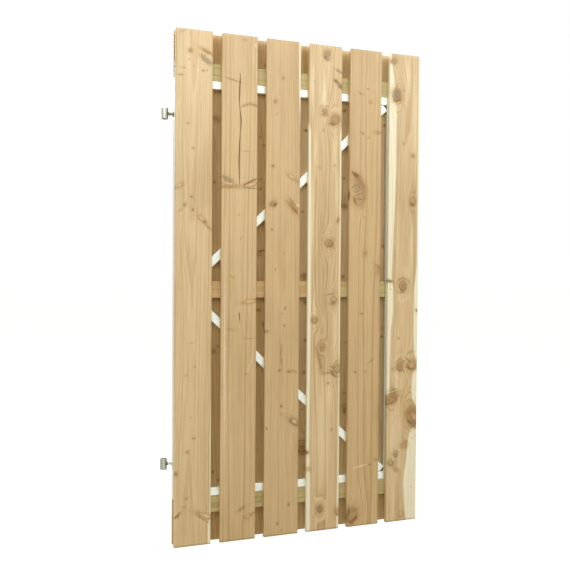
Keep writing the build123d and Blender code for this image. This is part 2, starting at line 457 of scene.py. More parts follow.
# Knots cut across, and all the knots that push the grain aside
CUT_ACROSS = ("plate", "disc", "ring", "eye")
PUSHING = ("tan", "blot", *CUT_ACROSS)
PUSH_SIZE, PUSH_LENGTH, PUSH_REACH = 1.3, 2.6, 6
CLOSED_RINGS, CLOSED_LENGTH, CLOSED_REACH = 2.4, 1.3, 2.1
SAP_EDGE, NO_SAP = 4, -99.0


def waves(place, parts, phase):
    """The sum of sine waves along a line, each of its own height and length."""
    return sum(height * np.sin(place / length + turns * phase) for height, length, turns in parts)


def by_height(along, places):
    """What is given up a board, as (height, value, ...) in rising order, at each height."""
    heights, *values = np.array(places).T
    return [np.interp(along, heights, value) for value in values]


def growth(points, log, knots=()):
    """Growth rings of the log that a length of wood was cut from, at points in millimetres.
    The ring number grows with the distance from the pith, whose line wanders along the board. Slow waves
    make rings wide and narrow. Beside a knot the wood is pushed aside as water is by a post, by the
    distance times (radius / distance) squared, and where a knot is cut across, the rings close round it.
    Sapwood lies outside the two lines given, and a few rings inside them are browner."""
    across, depth, along = points.T
    pith_across, pith_depth = by_height(along, log["pith"])
    wander = waves(along, PITH_WAVES, log["phase"])
    bent = across - wander
    closed = np.zeros_like(across)
    for kind, x, z, half_width, half_height, *_ in knots:
        if kind in PUSHING:
            post = PUSH_SIZE * min(half_width, half_height) + 1
            distance = np.maximum((across - x) ** 2 + ((along - z) / PUSH_LENGTH) ** 2, post ** 2)
            bent -= (across - x) * post ** 2 / distance * np.exp(-distance / (PUSH_REACH * post) ** 2)
        if kind in CUT_ACROSS:
            away = np.hypot((across - x) / half_width, (along - z) / half_height / CLOSED_LENGTH)
            closed += CLOSED_RINGS * np.exp(-(away / CLOSED_REACH) ** 2)
    grown = np.hypot(bent - pith_across, depth - pith_depth) / log["ring"] + closed
    ring = grown + waves(grown, RING_WAVES, log["phase"])
    outside = inside = np.full_like(across, NO_SAP)
    for side, sign in (("sap left", -1), ("sap right", 1)):
        if side in log:
            edge, = by_height(along, log[side])
            outside = np.maximum(outside, sign * (across - edge))
            inside = np.maximum(inside, sign * (bent + wander - edge))
    sap = np.clip(outside / SAP_EDGE + 0.5, 0, 1)
    band = sum(share * np.exp(-((inside + place) / spread) ** 2) for place, spread, share in BROWN_RINGS)
    if "band" in log:
        centre, half, share = by_height(along, log["band"])
        band = np.maximum(band, share / (1 + (np.abs(bent - centre) / half) ** 4))
    return {"ring": ring, "sap": sap, "band": band}


def wooden_piece(name, node_name, materials, shape, log, knots=(), lying=False, backwards=False):
    """Puts a length of wood where its CAD node is, with its growth rings as point attributes. Its materials
    share its length evenly, from one end to the other."""
    points, faces, strips, crack_shade = shape
    values = {**growth(points / MM, log, knots), "crack": crack_shade}
    middles = np.concatenate([points[faces, 2].mean(1), [points[strip, 2].mean() for strip in strips]])
    zone = np.clip(middles / points[:, 2].max() * len(materials), 0, len(materials) - 1).astype(int)
    low, high = map(np.array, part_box(node_name))
    if lying:
        points, faces, strips = points[:, ::-1], faces[:, ::-1], [strip[::-1] for strip in strips]
    if backwards:
        points = points * (1, -1, 1) + (0, high[1] - low[1], 0)
        faces, strips = faces[:, ::-1], [strip[::-1] for strip in strips]
    mesh = bpy.data.meshes.new(name)
    corners = np.concatenate([faces.ravel(), *strips])
    sizes = np.concatenate([np.full(len(faces), 4), [len(strip) for strip in strips]])
    mesh.vertices.add(len(points))
    mesh.vertices.foreach_set("co", (points + low).ravel())
    mesh.loops.add(len(corners))
    mesh.loops.foreach_set("vertex_index", corners)
    mesh.polygons.add(len(sizes))
    mesh.polygons.foreach_set("loop_start", np.cumsum(sizes) - sizes)
    mesh.polygons.foreach_set("loop_total", sizes)
    mesh.polygons.foreach_set("use_smooth", np.ones(len(sizes), bool))
    for material in materials:
        mesh.materials.append(material)
    mesh.polygons.foreach_set("material_index", zone)
    mesh.update(calc_edges=True)
    mesh.validate()
    for label, value in values.items():
        mesh.attributes.new(label, "FLOAT", "POINT").data.foreach_set("value", value)
    piece = on_leaf(name, mesh)
    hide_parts(node_name)


LATE_SHARE, FIBRE_SHARE, STREAK_SHARE, PATCH_SHARE, BAND_SHARE = 0.9, 0.2, 0.2, 0.2, 0.24
FIBRE_SPAN, STREAK_SPAN, PATCH_SPAN = (0.35, 0.75), (0.4, 0.72), (0.45, 0.7)
WAVER, WAVER_SCALE, FIBRE_SCALE, STREAK_SCALE, PATCH_SCALE = 0.8, 60, 650, 80, 7
GRAIN_LENGTH, FIBRE_LENGTH, PATCH_LENGTH = 0.04, 0.02, 0.35
LATE_RISE, LATE_FALL, YEAR_SPAN, YEAR_SHARES = (0.25, 0.85), (0.9, 1.0), (0.3, 1.0), (0.2, 1.0)
RING_RELIEF, FIBRE_RELIEF = 0.12 * MM, 0.06 * MM
ROUGHNESS_SPAN, WOOD_ROUGHNESS = (0.2, 0.8), (0.46, 0.62)
END_FROM, END_TO, END_SPAN, END_SHARES = 0.6 * MM, 0.1 * MM, (0.0, 0.6), (0.45, 0.85)
END_GRAIN = srgb(124, 98, 60)

# Late wood darkens the end of each year's ring, some years more than others. Fibres, streaks, patches and
# bands of brown rings then vary the tone, and the sawn ends are darker still.
wood, wood_in, wood_out = new_group(
    "softwood",
    {"Point": ("Vector", (0, 0, 0)), "Ring": ("Float", 0.0), "Sap": ("Float", 0.0), "Band": ("Float", 0.0),
     "End": ("Float", 0.0), "Early": ("Color", (1, 1, 1, 1)), "Late": ("Color", (1, 1, 1, 1)),
     "Sapwood": ("Color", srgb(245, 236, 200)), "Sap late": ("Color", srgb(230, 215, 170)),
     "Dark": ("Color", srgb(162, 126, 74))},
    {"Color": "Color", "Roughness": "Float", "Height": "Float"})
along_grain = stretched(wood, wood_in["Point"], 1, 1, GRAIN_LENGTH)
waver = noise(wood, along_grain, WAVER_SCALE, 3.0)
ring = calc(wood, "MULTIPLY_ADD", waver, WAVER, wood_in["Ring"])
part = calc(wood, "FRACT", ring)
late = calc(wood, "MULTIPLY", ramp(wood, part, *LATE_RISE), ramp(wood, part, *LATE_FALL, 1.0, 0.0))
year = node(wood, "TexWhiteNoise", {"W": calc(wood, "FLOOR", ring)}, noise_dimensions="1D").outputs["Value"]
late = calc(wood, "MULTIPLY", late, ramp(wood, year, *YEAR_SPAN, *YEAR_SHARES))
fibre = noise(wood, stretched(wood, wood_in["Point"], 1, 1, FIBRE_LENGTH), FIBRE_SCALE, 3.0, 0.6)
streak = noise(wood, along_grain, STREAK_SCALE, 4.0, 0.6)
patch = noise(wood, stretched(wood, wood_in["Point"], 1, 1, PATCH_LENGTH), PATCH_SCALE, 3.0)
late_share = calc(wood, "MULTIPLY", late, LATE_SHARE)
heartwood = mix(wood, late_share, wood_in["Early"], wood_in["Late"])
sapwood = mix(wood, late_share, wood_in["Sapwood"], wood_in["Sap late"])
shade = calc(wood, "MULTIPLY", ramp(wood, fibre, *FIBRE_SPAN), FIBRE_SHARE)
shade = calc(wood, "MULTIPLY_ADD", ramp(wood, streak, *STREAK_SPAN), STREAK_SHARE, shade)
shade = calc(wood, "MULTIPLY_ADD", ramp(wood, patch, *PATCH_SPAN), PATCH_SHARE, shade)
shade = calc(wood, "MULTIPLY_ADD", wood_in["Band"], BAND_SHARE, shade)
colour = mix(wood, shade, heartwood, wood_in["Dark"])
colour = mix(wood, wood_in["Sap"], colour, sapwood)
end_share = calc(wood, "MULTIPLY", wood_in["End"], ramp(wood, late, *END_SPAN, *END_SHARES))
colour = mix(wood, end_share, colour, END_GRAIN)
height = calc(wood, "MULTIPLY", late, RING_RELIEF)
height = calc(wood, "MULTIPLY_ADD", fibre, FIBRE_RELIEF, height)
roughness = ramp(wood, fibre, *ROUGHNESS_SPAN, *WOOD_ROUGHNESS)
plugged(wood, wood_out, {"Color": colour, "Roughness": roughness, "Height": height})


def end_mask(tree, point, low, high, axis):
    """1 on the two sawn ends of a piece and 0 on its long faces, by the place along its length."""
    middle, half = (low[axis] + high[axis]) / 2, (high[axis] - low[axis]) / 2
    away = calc(tree, "ABSOLUTE", calc(tree, "SUBTRACT", coordinate(tree, point, axis), middle))
    return ramp(tree, away, half - END_FROM, half - END_TO)


def blended(first, second, share):
    """A linear colour part of the way from one to another."""
    return tuple((1 - share) * a + share * b for a, b in zip(first, second))


RAIL_SHINE, FADED_GREEN = 0.3, 0.6
GREEN = {"Early": srgb(206, 190, 132), "Late": srgb(172, 154, 92), "Dark": srgb(130, 114, 62)}
PLAIN = {"Early": srgb(216, 182, 128), "Late": srgb(194, 158, 104), "Dark": srgb(158, 126, 76)}


def rail_material(name, node_name, colours):
    """The wood of a rail, its grain along X."""
    material, tree = new_material(name)
    point = object_point(tree)
    turn = {"Vector": point, "Angle": math.pi / 2}
    upright = node(tree, "VectorRotate", turn, rotation_type="Y_AXIS").outputs[0]
    low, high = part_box(node_name)
    looks = use_group(tree, wood, {
        "Point": upright, "Ring": attribute(tree, "ring"), "Band": attribute(tree, "band"),
        "End": end_mask(tree, point, low, high, 0), **colours})
    surface(tree, looks, looks["Color"], **{"Specular IOR Level": RAIL_SHINE})
    return material


FADED = {label: blended(PLAIN[label], GREEN[label], FADED_GREEN) for label in GREEN}
MIDDLE_COLOURS = PLAIN, PLAIN, PLAIN, FADED, GREEN
RAIL_COLOURS = {"bottom_rail": (GREEN,), "middle_rail": MIDDLE_COLOURS, "top_rail": (GREEN,)}

for order, (name, zones) in enumerate(RAIL_COLOURS.items()):
    low, high = map(np.array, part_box(name))
    length, depth, height = high - low
    columns = np.linspace(EDGE_RADIUS, height - EDGE_RADIUS, round(height / RAIL_CELL))
    rows = np.linspace(0, length, round(length / RAIL_STEP))
    log = {"pith": ((0, 24 + 6 * order, 44), (1000, 36, 38)), "ring": 4.2, "phase": 1.3 + 2.1 * order}
    materials = [rail_material(f"{name}_{zone}", name, colours) for zone, colours in enumerate(zones)]
    shape = plank((height, depth, length), columns, rows)
    wooden_piece(f"{name}_timber", name, materials, shape, log, lying=True)


# The boards are planed softwood: reddish heartwood, with cream sapwood where the saw ran near the bark.
# All are screwed to the rails, and the second front board has split along its grain as it dried. Each
# front board is given in millimetres from its lower left corner.
BOARD_CELL, BOARD_STEP, BOARD_SHINE = 2.3 * MM, 8 * MM, 0.75
SCREW_RADIUS, DIMPLE_DEPTH, DIMPLE_RADIUS = 3.6 * MM, 0.55 * MM, 5.8 * MM
SCREW_LINES = np.arange(-6, 6.1, 1.5) * MM
SLIT, SLIT_REACH, SLIT_SLOPE, SLIT_DEEPEST, SLIT_DARKEST, SLIT_FADE = 0.05, 15, 1.6, 4, 0.8, 0.75
CRACK_LINES, CRACK_CLEAR, NO_CRACK = 5, 0.6, ((0, -99, 0), (1, -99, 0))
# The colour of the painted shade inside a crack
CRACK_SHADE = srgb(106, 70, 30)


def knot_kind(body, heart=(0, 0, 0, 0.0), outline=(0, 0, 0, 0.0), arc=0.0, frayed=0.5, soft=0.5, halo=0.3):
    """A kind of knot: the colour and share of the wood round its heart, of its heart and of its dark
    outline, the share of the arc above it, how its edge frays and softens, and how far it darkens the wood
    beyond."""
    inputs = {"Arc share": arc, "Frayed": frayed, "Soft": soft, "Halo": halo}
    for name, (*colour, share) in (("Heart", heart), ("Body", body), ("Outline", outline)):
        inputs |= {name: srgb(*colour), f"{name} share": share}
    return inputs


KNOT_KINDS = {
    "pin": knot_kind((152, 116, 62, 0.6), heart=(126, 90, 44, 0.7), halo=0.4),
    "faint": knot_kind((160, 124, 72, 0.42), frayed=0.6, halo=0.2),
    "tan": knot_kind((176, 138, 82, 0.6), heart=(148, 108, 56, 0.7), frayed=0.6, halo=0.4),
    "blot": knot_kind((180, 144, 92, 0.72), outline=(156, 120, 68, 0.45), frayed=0.6, halo=0.4),
    "plate": knot_kind((184, 150, 98, 0.75), outline=(124, 94, 46, 0.7), frayed=0.6, halo=0.5),
    "disc": knot_kind((166, 134, 82, 0.7), outline=(118, 88, 42, 0.8), halo=0.5),
    "ring": knot_kind((178, 146, 94, 0.5), heart=(138, 108, 62, 0.7), outline=(116, 90, 48, 0.85), arc=0.5,
                      halo=0.5),
    "eye": knot_kind((176, 140, 88, 0.75), heart=(208, 166, 110, 0.75), outline=(118, 90, 44, 0.85),
                     frayed=0.8, halo=0.5),
    "spike": knot_kind((202, 164, 108, 0.5), heart=(228, 192, 140, 0.45), outline=(144, 110, 58, 0.65),
                       frayed=0.8),
    "streak": knot_kind((122, 84, 0, 0.8), frayed=1.3),
    "brown": knot_kind((166, 124, 68, 0.72), frayed=1.4),
    "grey": knot_kind((128, 112, 78, 0.65), frayed=1.4, halo=0.2),
    "smudge": knot_kind((148, 122, 76, 0.36), frayed=1.2, soft=0.9, halo=0.0),
    "warm": knot_kind((184, 140, 86, 0.34), soft=1.1, halo=0.0),
    "cream": knot_kind((242, 222, 168, 0.5), frayed=0.3, soft=1.1, halo=0.0),
    "light": knot_kind((247, 226, 180, 0.3), frayed=0.3, soft=1.1, halo=0.0),
    "pale": knot_kind((246, 224, 182, 0.55), frayed=0.3, soft=1.1, halo=0.0),
    "scratch": knot_kind((226, 216, 196, 0.5), halo=0.0),
}
HALO_TINT = srgb(226, 206, 166)
BODY_EDGE, HEART_FADE, HALO_FADE = 1.15, (0.25, 0.65), (0.7, 2.6)
RIM_RISE, RIM_FALL, ARC_RISE, ARC_FALL = (0.65, 0.95), (0.95, 1.3), (1.3, 1.6), (1.6, 2.0)

# Each part of a knot begins and ends at a distance from its middle, counted in the knot's own sizes. The
# outline is strongest below, and the arc lies above.
knot, knot_in, knot_out = new_group(
    "knot",
    {"Color": ("Color", (1, 1, 1, 1)), "Point": ("Vector", (0, 0, 0)), "Fibre": ("Float", 0.5),
     "Place": ("Vector", (0, 0, 0)), "Size": ("Vector", (1, 1, 1)), "Slope": ("Float", 0.0),
     "Heart": ("Color", (0, 0, 0, 1)), "Heart share": ("Float", 0.0),
     "Body": ("Color", (0, 0, 0, 1)), "Body share": ("Float", 0.0),
     "Outline": ("Color", (0, 0, 0, 1)), "Outline share": ("Float", 0.0), "Arc share": ("Float", 0.0),
     "Frayed": ("Float", 0.5), "Soft": ("Float", 0.5), "Halo": ("Float", 0.3)},
    {"Color": "Color"})
away = vector(knot, "SUBTRACT", knot_in["Point"], knot_in["Place"])
turn = {"Vector": away, "Angle": knot_in["Slope"]}
away = stretched(knot, node(knot, "VectorRotate", turn, rotation_type="Y_AXIS").outputs[0], 1, 0, 1)
unit = vector(knot, "DIVIDE", away, knot_in["Size"])
reach = node(knot, "VectorMath", {0: unit}, operation="LENGTH").outputs["Value"]
reach = calc(knot, "MULTIPLY_ADD", knot_in["Fibre"], knot_in["Frayed"], reach)
heart = calc(knot, "MULTIPLY", ramp(knot, reach, *HEART_FADE, 1.0, 0.0), knot_in["Heart share"])
body = ramp(knot, reach, calc(knot, "SUBTRACT", BODY_EDGE, knot_in["Soft"]), BODY_EDGE, 1.0, 0.0)
body = calc(knot, "MULTIPLY", body, knot_in["Body share"])
rim = calc(knot, "MULTIPLY", ramp(knot, reach, *RIM_RISE), ramp(knot, reach, *RIM_FALL, 1.0, 0.0))
arc = calc(knot, "MULTIPLY", ramp(knot, reach, *ARC_RISE), ramp(knot, reach, *ARC_FALL, 1.0, 0.0))
upright = coordinate(knot, unit, 2)
rim = calc(knot, "MULTIPLY", rim, ramp(knot, upright, -1.0, 1.0, 1.0, 0.35))
rim = calc(knot, "MULTIPLY", rim, knot_in["Outline share"])
arc = calc(knot, "MULTIPLY", arc, ramp(knot, upright, 0.0, 1.2, 0.0, knot_in["Arc share"]))
rim = calc(knot, "MAXIMUM", rim, arc)
halo = calc(knot, "MULTIPLY", ramp(knot, reach, *HALO_FADE, 1.0, 0.0), knot_in["Halo"])
shaded = mix(knot, halo, knot_in["Color"], mix(knot, 1.0, knot_in["Color"], HALO_TINT, "MULTIPLY"))
shaded = mix(knot, body, shaded, knot_in["Body"])
shaded = mix(knot, heart, shaded, knot_in["Heart"])
plugged(knot, knot_out, {"Color": mix(knot, rim, shaded, knot_in["Outline"])})


PALE_EARLY, BROWN_EARLY = srgb(228, 201, 149), srgb(201, 166, 108)
PALE_LATE, BROWN_LATE = srgb(206, 169, 108), srgb(177, 137, 72)
WOBBLE, WOBBLE_SCALE = 6 * MM, 140.0
FRAY_SCALE, FRAY_LENGTH = 420, 0.12
LOG_SHIFT = np.array((0.37, 0, 1.9))


def board_material(name, node_name, knots, tone, lines, shine, order):
    """The wood of one board, with each knot drawn on it in turn. Its tone and its growth lines go from pale
    at 0 to brown at 1."""
    material, tree = new_material(name)
    low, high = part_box(node_name)
    point = object_point(tree)
    own_point = vector(tree, "ADD", point, order * LOG_SHIFT)
    looks = use_group(tree, wood, {
        "Point": own_point, "Ring": attribute(tree, "ring"), "Sap": attribute(tree, "sap"),
        "Band": attribute(tree, "band"), "End": end_mask(tree, point, low, high, 2),
        "Early": blended(PALE_EARLY, BROWN_EARLY, tone), "Late": blended(PALE_LATE, BROWN_LATE, lines)})
    wobble = node(tree, "TexNoise", {"Vector": point, "Scale": WOBBLE_SCALE, "Detail": 2.0}).outputs["Color"]
    wobble = vector(tree, "SUBTRACT", wobble, (0.5, 0.5, 0.5))
    wavy = vector(tree, "ADD", point, stretched(tree, wobble, WOBBLE, 0, WOBBLE))
    fibre = noise(tree, stretched(tree, own_point, 1, 1, FRAY_LENGTH), FRAY_SCALE, 3.0, 0.6)
    fray = calc(tree, "MULTIPLY_ADD", fibre, 2.0, -1.0)
    colour = looks["Color"]
    for kind, x, z, half_width, half_height, *slope in knots:
        colour = use_group(tree, knot, {
            "Color": colour, "Point": wavy, "Fibre": fray, "Place": (low[0] + x * MM, 0, low[2] + z * MM),
            "Size": (half_width * MM, 1, half_height * MM), "Slope": math.radians(slope[0] if slope else 0),
            **KNOT_KINDS[kind]})["Color"]
    # The crack's dark colour is painted shade in the slit, strongest where it is widest.
    colour = mix(tree, attribute(tree, "crack"), colour, CRACK_SHADE)
    surface(tree, looks, colour, **{"Specular IOR Level": shine})
    return material


def board_face(screws, crack):
    """How a board's outer face is pressed in. A screw leaves a round dimple. A crack is a slit whose sides
    part by a width given down the board, in a V that is deeper where it is wider, and the wood beside it
    moves over with it. The slit also takes a dark colour, painted shade that is strongest where it is
    widest."""
    crack = crack or NO_CRACK
    nominal = np.mean([centre for _, centre, _ in crack])

    def press(across, along):
        """Sideways move, depth and share of a crack's painted shade, of points in metres."""
        x, z = across / MM, along / MM
        depth = np.zeros_like(x)
        for screw_x, screw_z in screws:
            away = np.hypot(x - screw_x, z - screw_z) * MM
            inside = np.clip((DIMPLE_RADIUS - away) / (DIMPLE_RADIUS - SCREW_RADIUS), 0, 1)
            depth += DIMPLE_DEPTH * inside ** 2 * (3 - 2 * inside)
        gap = x - nominal
        centre, half = by_height(z, crack)
        part = np.clip(gap / SLIT, -1, 1)
        fade = np.clip(1 - (np.abs(gap) - SLIT) / SLIT_REACH, 0, 1)
        sideways = fade * (part * half + centre - nominal)
        inward = np.minimum(SLIT_SLOPE * half, SLIT_DEEPEST) * (1 - np.abs(part))
        crack_shade = np.clip(half / SLIT_DARKEST, 0, 1) * (1 - SLIT_FADE * np.abs(part)) * (np.abs(gap) <= SLIT)
        return sideways * MM, depth + inward * MM, crack_shade
    return press


def board_grid(width, height, cell, step, screws, crack):
    """Places of the mesh lines across and up a board: even, and closer at the screws and in a crack."""
    columns = np.linspace(EDGE_RADIUS, width - EDGE_RADIUS, round(width / cell))
    rows = [np.linspace(0, height, round(height / step))]
    for level in sorted({round(z) for _, z in screws}):
        rows.append(level * MM + SCREW_LINES)
    if crack:
        centre = np.mean([x for _, x, _ in crack])
        clear = columns[np.abs(columns - centre * MM) > CRACK_CLEAR * cell]
        columns = np.concatenate([clear, (centre + SLIT * np.linspace(-1, 1, CRACK_LINES)) * MM])
    return np.sort(columns), np.unique(np.concatenate(rows).round(5))


